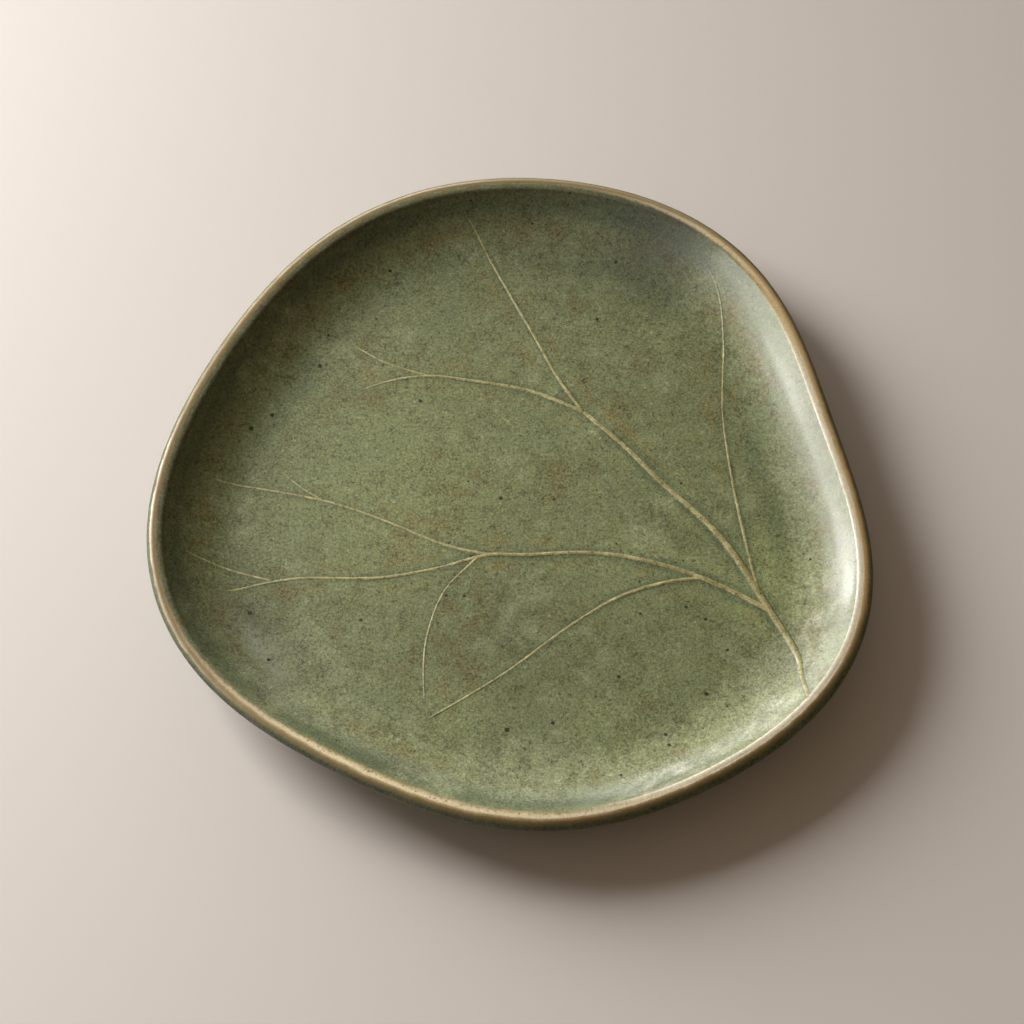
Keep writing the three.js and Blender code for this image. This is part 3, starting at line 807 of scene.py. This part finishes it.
def vein_tree():
    """Geometry Nodes that sweep a rounded ridge along the vein lines."""
    tree = bpy.data.node_groups.new("Vein ridges", "GeometryNodeTree")
    tree.interface.new_socket("Lines", in_out="INPUT", socket_type="NodeSocketGeometry")
    for key, kind in (("Spread", "Float"), ("Relief", "Float"), ("Sides", "Int"), ("Finish", "Material")):
        tree.interface.new_socket(key, in_out="INPUT", socket_type="NodeSocket" + kind)
    tree.interface.new_socket("Ridges", in_out="OUTPUT", socket_type="NodeSocketGeometry")
    nodes = Nodes(tree)
    given = nodes.add("NodeGroupInput").outputs
    out = nodes.add("NodeGroupOutput").inputs

    def named(key, kind):
        return nodes.first("GeometryNodeInputNamedAttribute", {"Name": key}, data_type=kind)

    line = nodes.first("GeometryNodeMeshToCurve", {"Mesh": given["Lines"]})
    up = named("up", "FLOAT_VECTOR")
    line = nodes.first("GeometryNodeSetCurveNormal", {"Curve": line, "Normal": up}, mode="FREE")
    circle = nodes.first("GeometryNodeCurvePrimitiveCircle", {"Resolution": given["Sides"], "Radius": 1.0})
    spot = nodes.add("ShaderNodeSeparateXYZ", {0: nodes.first("GeometryNodeInputPosition")}).outputs
    inner = nodes.math("SUBTRACT", 1.0, nodes.times(spot["Y"], spot["Y"]))
    ridge_top = nodes.times(nodes.times(inner, inner), given["Relief"])
    under = nodes.times(spot["X"], VEIN_DEPTH)
    above = nodes.math("GREATER_THAN", spot["X"], 0.0)
    rise = nodes.first("ShaderNodeMix", {0: above, 2: under, 3: ridge_top}, data_type="FLOAT")
    section = nodes.first("ShaderNodeCombineXYZ", {"X": rise, "Y": spot["Y"]})
    profile = nodes.first("GeometryNodeStoreNamedAttribute",
                          {"Geometry": circle, "Name": "across", "Value": spot["Y"]}, data_type="FLOAT")
    profile = nodes.first("GeometryNodeSetPosition", {"Geometry": profile, "Position": section})
    width = nodes.times(named("half", "FLOAT"), given["Spread"])
    ridge = nodes.first("GeometryNodeCurveToMesh", {"Curve": line, "Profile Curve": profile, "Scale": width,
                                                    "Fill Caps": True})
    for kind in ("SetShadeSmooth", "RealizeInstances"):
        ridge = nodes.first("GeometryNode" + kind, {"Geometry": ridge})
    ridge = nodes.first("GeometryNodeSetMaterial", {"Geometry": ridge, "Material": given["Finish"]})
    nodes.feed(out[0], ridge)
    return tree


def set_inputs(modifier, values):
    """Sets a Geometry Nodes modifier's inputs by the names of its tree's sockets."""
    for item in modifier.node_group.interface.items_tree:
        if item.in_out == "INPUT" and item.name in values:
            modifier[item.identifier] = values[item.name]


class SIDEPLATE_OT_slab(bpy.types.Operator):
    """Clay slab: the bare lip and the underside"""

    bl_idname = "side_plate.slab"
    bl_label = "Slab"

    def execute(self, context):
        shape = Shape(context.scene.side_plate_sizes)
        lean, half = shape.lean, shape.half
        floor_steps, bend_steps, nose_steps = SLAB_STEPS
        flat = np.linspace(0, shape.bend_start, floor_steps)[1:]
        bend = np.linspace(0, lean, bend_steps)
        nose = np.linspace(lean - math.pi / 2, lean + math.pi / 2, nose_steps)[1:]
        radius, height, run = joined(
            (flat, np.full_like(flat, shape.sizes.foot_height)),
            shape.bend(-half, bend[1:]),
            shape.nose(half, nose),
            shape.bend(half, bend[-2::-1]),
        )
        nose_from = len(flat) + len(bend) - 1
        nose_to = nose_from + len(nose)
        turn = np.zeros(len(radius))
        turn[nose_from:nose_to] = np.maximum(nose, 0) / math.pi
        turn[nose_to:] = 1
        toast = smooth(8 * MM, 0, np.abs(radius - shape.glaze_line)) * 0.5
        mesh = rings_mesh("slab_body", shape.stand(radius[:, None], height[:, None]),
                          shape.centre(shape.sizes.foot_height), shape.centre(shape.floor_top),
                          {"coat": 1, "toast": toast[:, None], **shape.lip_values(turn)},
                          run + radius[0])
        mesh.materials.append(clay_material())
        mesh.materials.append(glaze_material())
        columns = len(shape.angle)
        index = np.zeros(len(mesh.polygons), dtype=np.int32)
        index[(nose_from - 3) * columns:(nose_to + 3) * columns] = 1
        mesh.polygons.foreach_set("material_index", index)
        add_piece("slab_body", mesh, "stoneware", "slab_body")
        return {"FINISHED"}


class SIDEPLATE_OT_foot_ring(bpy.types.Operator):
    """Coiled foot ring, luted to the slab"""

    bl_idname = "side_plate.foot_ring"
    bl_label = "Foot ring"

    def execute(self, context):
        sizes = context.scene.side_plate_sizes
        shape = Shape(sizes)
        top, edge, side = sizes.foot_height, sizes.foot_edge, sizes.foot_width / 2
        corner = np.linspace(0, math.pi / 2, 7)
        lute = np.linspace(0, 1, 7)
        wall_r = side + sizes.foot_flare * lute ** 2
        wall_z = edge + (top - edge) * lute
        outer = [
            (side - edge + edge * np.sin(corner), edge - edge * np.cos(corner)),
            (wall_r[1:], wall_z[1:]),
            (np.array([wall_r[-1] + 0.5 * MM]), np.array([top + 0.2 * MM])),
        ]
        radius, height, _ = joined(*outer)
        radius, height, run = joined((shape.foot_radius - radius[::-1], height[::-1]),
                                     (shape.foot_radius + radius, height))
        wander = 0.12 * MM * np.cos(7 * shape.angle + 1) + 0.08 * MM * np.cos(12 * shape.angle)
        rings = shape.stand(radius[:, None] + wander, height[:, None])
        toast = smooth(2.5 * MM, 4 * MM, height) * 0.5
        mesh = rings_mesh("foot_ring", rings, values={"toast": toast[:, None]}, uv=run + FOOT_MAP)
        mesh.materials.append(clay_material())
        add_piece("foot_ring", mesh, "stoneware", "foot_ring")
        return {"FINISHED"}


class SIDEPLATE_OT_inside_glaze(bpy.types.Operator):
    """Glaze inside the dish, pooled beside the veins and thin on the lip"""

    bl_idname = "side_plate.inside_glaze"
    bl_label = "Inside glaze"

    def execute(self, context):
        sizes = context.scene.side_plate_sizes
        shape = Shape(sizes)
        lean, half, thick = shape.lean, shape.half, sizes.glaze_thickness
        floor_steps, bend_steps, lip_steps = INSIDE_STEPS
        flat = np.linspace(0, shape.bend_start, floor_steps)[1:]
        lip = np.linspace(lean + math.pi / 2, INSIDE_EDGE, lip_steps)[1:]
        taper = smooth(*np.radians(INSIDE_TAPER), lip)
        dip = COAT_DIP * smooth(*np.radians(INSIDE_DIP), lip)
        face = [
            (flat, np.full_like(flat, shape.floor_top + thick)),
            shape.bend(half + thick, np.linspace(0, lean, bend_steps)[1:]),
            shape.nose(half + thick * taper - dip, lip),
        ]
        back = [
            shape.nose(np.array([half - COAT_BACK]), lip[-1:]),
            shape.bend(half - COAT_BACK, np.linspace(lean, 0, BACK_STEPS)),
        ]
        radius, height, run = joined(*face, *back)
        run = run + radius[0]
        wall = run - shape.bend_start
        shown = sum(len(part[0]) for part in face)
        on_lip = slice(shown - len(lip), shown)
        rings = shape.stand(radius[:, None], height[:, None])
        pool = self.pooling(shape, rings, run, shown)
        level = np.ones(shown)
        level[on_lip] = taper
        rings[:shown, :, 2] += self.unevenness(rings[:shown]) * level[:, None]
        ring = np.arange(len(radius))
        uv = np.where(ring < shown, run, run[shown - 1] + 0.2 * MM * (ring - shown))
        turn = np.ones(len(radius))
        turn[on_lip] = lip / math.pi
        on_face = (ring < shown)[:, None]
        mesh = rings_mesh("inside_glaze", rings, shape.centre(rings[0, :, 2].mean()),
                          shape.centre(shape.floor_top - COAT_BACK), {
                              "coat": 1,
                              "pool": pool,
                              "bloom": self.patch(shape, rings, BLOOM)[0] * on_face,
                              # painted sheen streaks on the near-right wall
                              "painted_sheen": self.painted_sheen_streaks(shape, rings) * on_face,
                              # milky glaze up the near wall, partly painted sheen
                              "milk_and_sheen": bands(wall, MILK_AND_SHEEN_BAND)[:, None] * shape.about(*NEAR_SIDE),
                              # partly clouds of the glaze, partly painted shade and sheen, and painted shade
                              # up the wall
                              "cloud_and_painted_light": self.clouds(shape, rings, run),
                              **shape.lip_values(turn),
                          }, uv)
        mesh.materials.append(glaze_material())
        add_piece("inside_glaze", mesh, "glaze", "inside_glaze")
        return {"FINISHED"}

    def pooling(self, shape, rings, run, shown):
        """How thick the glaze lies: 1 pooled, -1 thin."""
        veins = vein_paths(shape)
        places, half, strength = (np.concatenate([getattr(vein, key) for vein in veins])
                                  for key in ("at", "half", "sink"))
        tree = kdtree.KDTree(len(places))
        for i, at in enumerate(places):
            tree.insert((at[0], at[1], 0), i)
        tree.balance()
        pool = np.zeros(rings.shape[:2])
        for row in range(shown):
            for column in range(rings.shape[1]):
                x, y = rings[row, column, :2]
                _, i, gap = tree.find((x, y, 0))
                wide = half[i] * VEIN_SPREAD
                full = strength[i] * min(1, half[i] / (0.6 * MM))
                beside = bell(gap, 0.4 * wide, wide + 0.5 * MM)
                beyond = bell(gap, wide + 3 * MM, 2 * MM)
                uneven = noise.noise(Vector((x, y, 0)) / (9 * MM))
                pool[row, column] = full * (beside * 1.1 - beyond * (0.35 + 0.6 * uneven))
        wall = (run - shape.bend_start)[:, None]
        rolled = bands(wall, ROLLED_BAND) * (1 - shape.about(*LIT_SIDE))
        drawn = bands(wall, DRAWN_BAND) * shape.about(*VEIL_SIDE)
        return np.clip(pool + bands(wall, *INSIDE_BANDS) + rolled + drawn, -1, 1.2)

    def clouds(self, shape, rings, run):
        """Brightening of the glaze: broad patches that are partly real clouds and partly painted shade and
        sheen, and painted shade up the wall at the left and far side.
        """
        unit = shape.sizes.rim_radius / 100
        plan = (rings[:, :, :2] + shape.middle) / unit
        wall = (run - shape.bend_start)[:, None]
        # Painted shade: the top of the wall darkens at the left and at the far side, where the wall is turned
        # from the light
        tone = painted_wall_shade(wall, *LEFT_PAINTED_SHADE) * shape.about(*LEFT_SIDE)
        tone = tone + painted_wall_shade(wall, *VEILED_PAINTED_SHADE) * shape.about(*VEIL_SIDE)
        # Patches that are partly real clouds of the glaze, partly painted shade and painted sheen
        for x, y, reach, rise in PAINTED_LIGHT_AND_CLOUDS:
            tone = tone + rise * np.exp(-np.sum((plan - np.array((x, y))) ** 2, axis=-1) / reach ** 2)
        return tone

    def patch(self, shape, rings, spot):
        """A soft patch of the glaze, with the places along and across it."""
        middle, along, reach, wide = spot
        off = rings[:, :, :2] + shape.middle - np.array(middle) * shape.sizes.rim_radius / 100
        run = off @ np.array(along)
        side = off @ np.array((-along[1], along[0]))
        return bell(run, 0, reach * MM) * bell(side, 0, wide * MM), run, side

    def painted_sheen_streaks(self, shape, rings):
        """Painted sheen: white streaks on the wall, where the midrib runs out, standing in for the windows'
        reflection.
        """
        total = np.zeros(rings.shape[:2])
        for spot in PAINTED_SHEEN_STREAKS:
            share, run, side = self.patch(shape, rings, spot)
            for row, column in np.argwhere(share > 0.02):
                at = Vector((run[row, column] / (TEAR[0] * MM), side[row, column] / (TEAR[1] * MM), 0))
                share[row, column] *= smooth(-0.25, 0.4, noise.noise(at))
            total = np.maximum(total, share)
        return total

    def unevenness(self, rings):
        """Gentle swells of the glaze's surface."""
        swell = np.zeros(rings.shape[:2])
        for row in range(rings.shape[0]):
            for column in range(rings.shape[1]):
                at = Vector(rings[row, column])
                swell[row, column] = sum(rise * MM * noise.noise(at / (size * MM)) for rise, size in SWELLS)
        return swell


class SIDEPLATE_OT_veins(bpy.types.Operator):
    """Raised veins of the leaf, bare along their crests"""

    bl_idname = "side_plate.veins"
    bl_label = "Leaf veins"

    def execute(self, context):
        sizes = context.scene.side_plate_sizes
        shape = Shape(sizes)
        veins = vein_paths(shape)
        points, edges = [], []
        for vein in veins:
            first = len(points)
            sunk = vein.at - vein.up * (VEIN_SEAT + VEIN_SINK * (1 - vein.sink))[:, None]
            points += [tuple(p) for p in sunk]
            edges += [(first + i, first + i + 1) for i in range(len(sunk) - 1)]
        lines = bpy.data.meshes.new("vein_lines")
        lines.from_pydata(points, edges, [])
        for key, kind, field in (("half", "FLOAT", "value"), ("fade", "FLOAT", "value"),
                                 ("up", "FLOAT_VECTOR", "vector")):
            store(lines, key, np.concatenate([getattr(vein, key) for vein in veins]), kind, field)
        piece = bpy.data.objects.new("leaf_veins", lines)
        context.scene.collection.objects.link(piece)
        sweep = piece.modifiers.new("Vein ridges", "NODES")
        sweep.node_group = vein_tree()
        set_inputs(sweep, {"Spread": VEIN_SPREAD, "Relief": sizes.vein_relief * 2 / VEIN_SPREAD,
                           "Sides": VEIN_SIDES, "Finish": glaze_material()})
        depsgraph = context.evaluated_depsgraph_get()
        mesh = bpy.data.meshes.new_from_object(piece.evaluated_get(depsgraph), preserve_all_data_layers=True,
                                               depsgraph=depsgraph)
        piece.modifiers.remove(sweep)
        piece.data = mesh
        if not mesh.polygons:
            raise RuntimeError("the vein ridges came out empty")
        bare = (1 - smooth(0.3, 0.85, np.abs(fetch(mesh, "across")))) * (0.3 + 0.7 * fetch(mesh, "fade"))
        store(mesh, "coat", 1 - bare)
        store(mesh, "pool", np.full(len(mesh.vertices), 0.8))
        settle(piece, "stoneware")
        return {"FINISHED"}


class SIDEPLATE_OT_outside_glaze(bpy.types.Operator):
    """Glaze on the outer wall, from the lip to a rolled line beside the foot ring"""

    bl_idname = "side_plate.outside_glaze"
    bl_label = "Outside glaze"

    def execute(self, context):
        sizes = context.scene.side_plate_sizes
        shape = Shape(sizes)
        lean, half, thick = shape.lean, shape.half, sizes.glaze_thickness
        line, under = shape.glaze_line, sizes.foot_height
        lip_steps, bend_steps, flat_steps, roll_steps = OUTSIDE_STEPS
        lip = np.linspace(OUTSIDE_EDGE, lean - math.pi / 2, lip_steps)
        taper = smooth(*np.radians(OUTSIDE_TAPER), lip)
        dip = COAT_DIP * smooth(*np.radians(OUTSIDE_DIP), lip)
        flat = np.linspace(shape.bend_start, line + GLAZE_ROLL, flat_steps)[1:]
        roll = np.linspace(0, math.pi / 2, roll_steps)[1:]
        face = [
            shape.nose(half + thick * taper - dip, lip),
            shape.bend(-half - thick, np.linspace(lean, 0, bend_steps)[1:]),
            (flat, np.full_like(flat, under - thick)),
            (line + GLAZE_ROLL - GLAZE_ROLL * np.sin(roll), under - thick * np.cos(roll)),
        ]
        back = [
            (np.array([line + 0.5 * MM]), np.array([under + COAT_BACK])),
            shape.bend(-half + COAT_BACK, np.linspace(0, lean, BACK_STEPS)),
            shape.nose(np.array([half - COAT_BACK]), lip[:1]),
        ]
        radius, height, run = joined(*face, *back)
        shown = sum(len(part[0]) for part in face)
        near_line = smooth(line + 7 * MM, line, radius)
        near_line[len(lip):][radius[len(lip):] > shape.bend_start] = 0
        wander = 0.9 * MM * np.cos(5 * shape.angle + 0.6) + 0.6 * MM * np.cos(11 * shape.angle + 2)
        rings = shape.stand(radius[:, None] + near_line[:, None] * wander, height[:, None])
        wall = run - run[len(lip) - 1]
        pool = bands(wall, *OUTSIDE_BANDS) + 0.8 * smooth(20 * MM, 32 * MM, wall)
        uv = OUTSIDE_MAP - np.where(np.arange(len(radius)) < shown, run, run[shown - 1] + 0.3 * MM)
        turn = np.zeros(len(radius))
        turn[:len(lip)] = np.maximum(lip, 0) / math.pi
        # The outer wall is darkened all over as painted shade
        mesh = rings_mesh("outside_glaze", rings, uv=uv, values={
            "coat": 1, "pool": pool[:, None], "cloud_and_painted_light": OUTSIDE_PAINTED_SHADE, **shape.lip_values(turn)})
        mesh.materials.append(glaze_material())
        add_piece("outside_glaze", mesh, "glaze", "outside_glaze")
        return {"FINISHED"}


class SIDEPLATE_OT_stage(bpy.types.Operator):
    """Plain pale floor, soft windows, and the camera"""

    bl_idname = "side_plate.stage"
    bl_label = "Stage"

    def execute(self, context):
        scene = context.scene
        colours = scene.side_plate_colours
        mesh = bpy.data.meshes.new("floor")
        corners = [(x * FLOOR_REACH, y * FLOOR_REACH, 0) for x, y in ((-1, -1), (1, -1), (1, 1), (-1, 1))]
        mesh.from_pydata(corners, [], [(0, 1, 2, 3)])
        material, nodes, shader = new_material("Plain floor", colours.table)
        nodes.feed(shader["Base Color"], colours.table)
        nodes.feed(shader["Roughness"], FLOOR_ROUGHNESS)
        mesh.materials.append(material)
        floor = bpy.data.objects.new("floor", mesh)
        scene.collection.objects.link(floor)

        for name, azimuth, elevation, distance, aim, size, spread, power, lights, mirrored in LAMPS:
            lamp = bpy.data.lights.new(name, "AREA")
            lamp.shape = "RECTANGLE"
            lamp.size, lamp.size_y = size
            lamp.spread = math.radians(spread)
            lamp.energy = power
            lamp.color = DAYLIGHT if lights else MIRRORED_LIGHT
            turn, rise = math.radians(azimuth), math.radians(elevation)
            level = math.cos(rise)
            towards = Vector((level * math.cos(turn), level * math.sin(turn), math.sin(rise)))
            window = bpy.data.objects.new(name, lamp)
            window.visible_diffuse = lights
            window.visible_glossy = mirrored
            window.location = LAMP_CENTRE + towards * distance
            window.rotation_euler = (window.location - Vector(aim)).to_track_quat("Z", "Y").to_euler()
            scene.collection.objects.link(window)

        world = bpy.data.worlds.new("Room")
        world.use_nodes = True
        room = world.node_tree.nodes["Background"]
        room.inputs["Color"].default_value = rgba(ROOM_LIGHT)
        room.inputs["Strength"].default_value = 1.0
        scene.world = world

        lens = bpy.data.cameras.new("camera")
        lens.sensor_width = SENSOR_WIDTH
        lens.lens = PIXELS_PER_METRE * CAMERA_DISTANCE * SENSOR_WIDTH / PHOTO_WIDTH
        lens.clip_start = 0.01
        camera = bpy.data.objects.new("camera", lens)
        back = Vector((0, -math.cos(CAMERA_ELEVATION), math.sin(CAMERA_ELEVATION)))
        camera.location = CAMERA_TARGET + back * CAMERA_DISTANCE
        camera.rotation_euler = back.to_track_quat("Z", "Y").to_euler()
        scene.collection.objects.link(camera)
        scene.camera = camera
        scene.view_settings.view_transform = "Standard"
        return {"FINISHED"}


class SIDEPLATE_PT_panel(bpy.types.Panel):
    """Lists the plate's sizes, colours and pieces"""

    bl_idname = "SIDEPLATE_PT_panel"
    bl_label = "Side plate"
    bl_space_type = "VIEW_3D"
    bl_region_type = "UI"
    bl_category = "Side plate"

    def draw(self, context):
        layout = self.layout
        for group in (context.scene.side_plate_sizes, context.scene.side_plate_colours):
            column = layout.column(align=True)
            for key in group.__annotations__:
                column.prop(group, key)
        for operator in OPERATORS:
            layout.operator(operator.bl_idname)


OPERATORS = (
    SIDEPLATE_OT_slab,
    SIDEPLATE_OT_foot_ring,
    SIDEPLATE_OT_inside_glaze,
    SIDEPLATE_OT_veins,
    SIDEPLATE_OT_outside_glaze,
    SIDEPLATE_OT_stage,
)
CLASSES = (SidePlateSizes, SidePlateColours, *OPERATORS, SIDEPLATE_PT_panel)


def register():
    for cls in CLASSES:
        bpy.utils.register_class(cls)
    bpy.types.Scene.side_plate_sizes = PointerProperty(type=SidePlateSizes)
    bpy.types.Scene.side_plate_colours = PointerProperty(type=SidePlateColours)


def unregister():
    del bpy.types.Scene.side_plate_colours
    del bpy.types.Scene.side_plate_sizes
    for cls in reversed(CLASSES):
        bpy.utils.unregister_class(cls)


def main():
    register()
    bpy.ops.side_plate.slab()
    bpy.ops.side_plate.foot_ring()
    bpy.ops.side_plate.inside_glaze()
    bpy.ops.side_plate.veins()
    bpy.ops.side_plate.outside_glaze()
    bpy.ops.side_plate.stage()


if __name__ == "__main__":
    main()
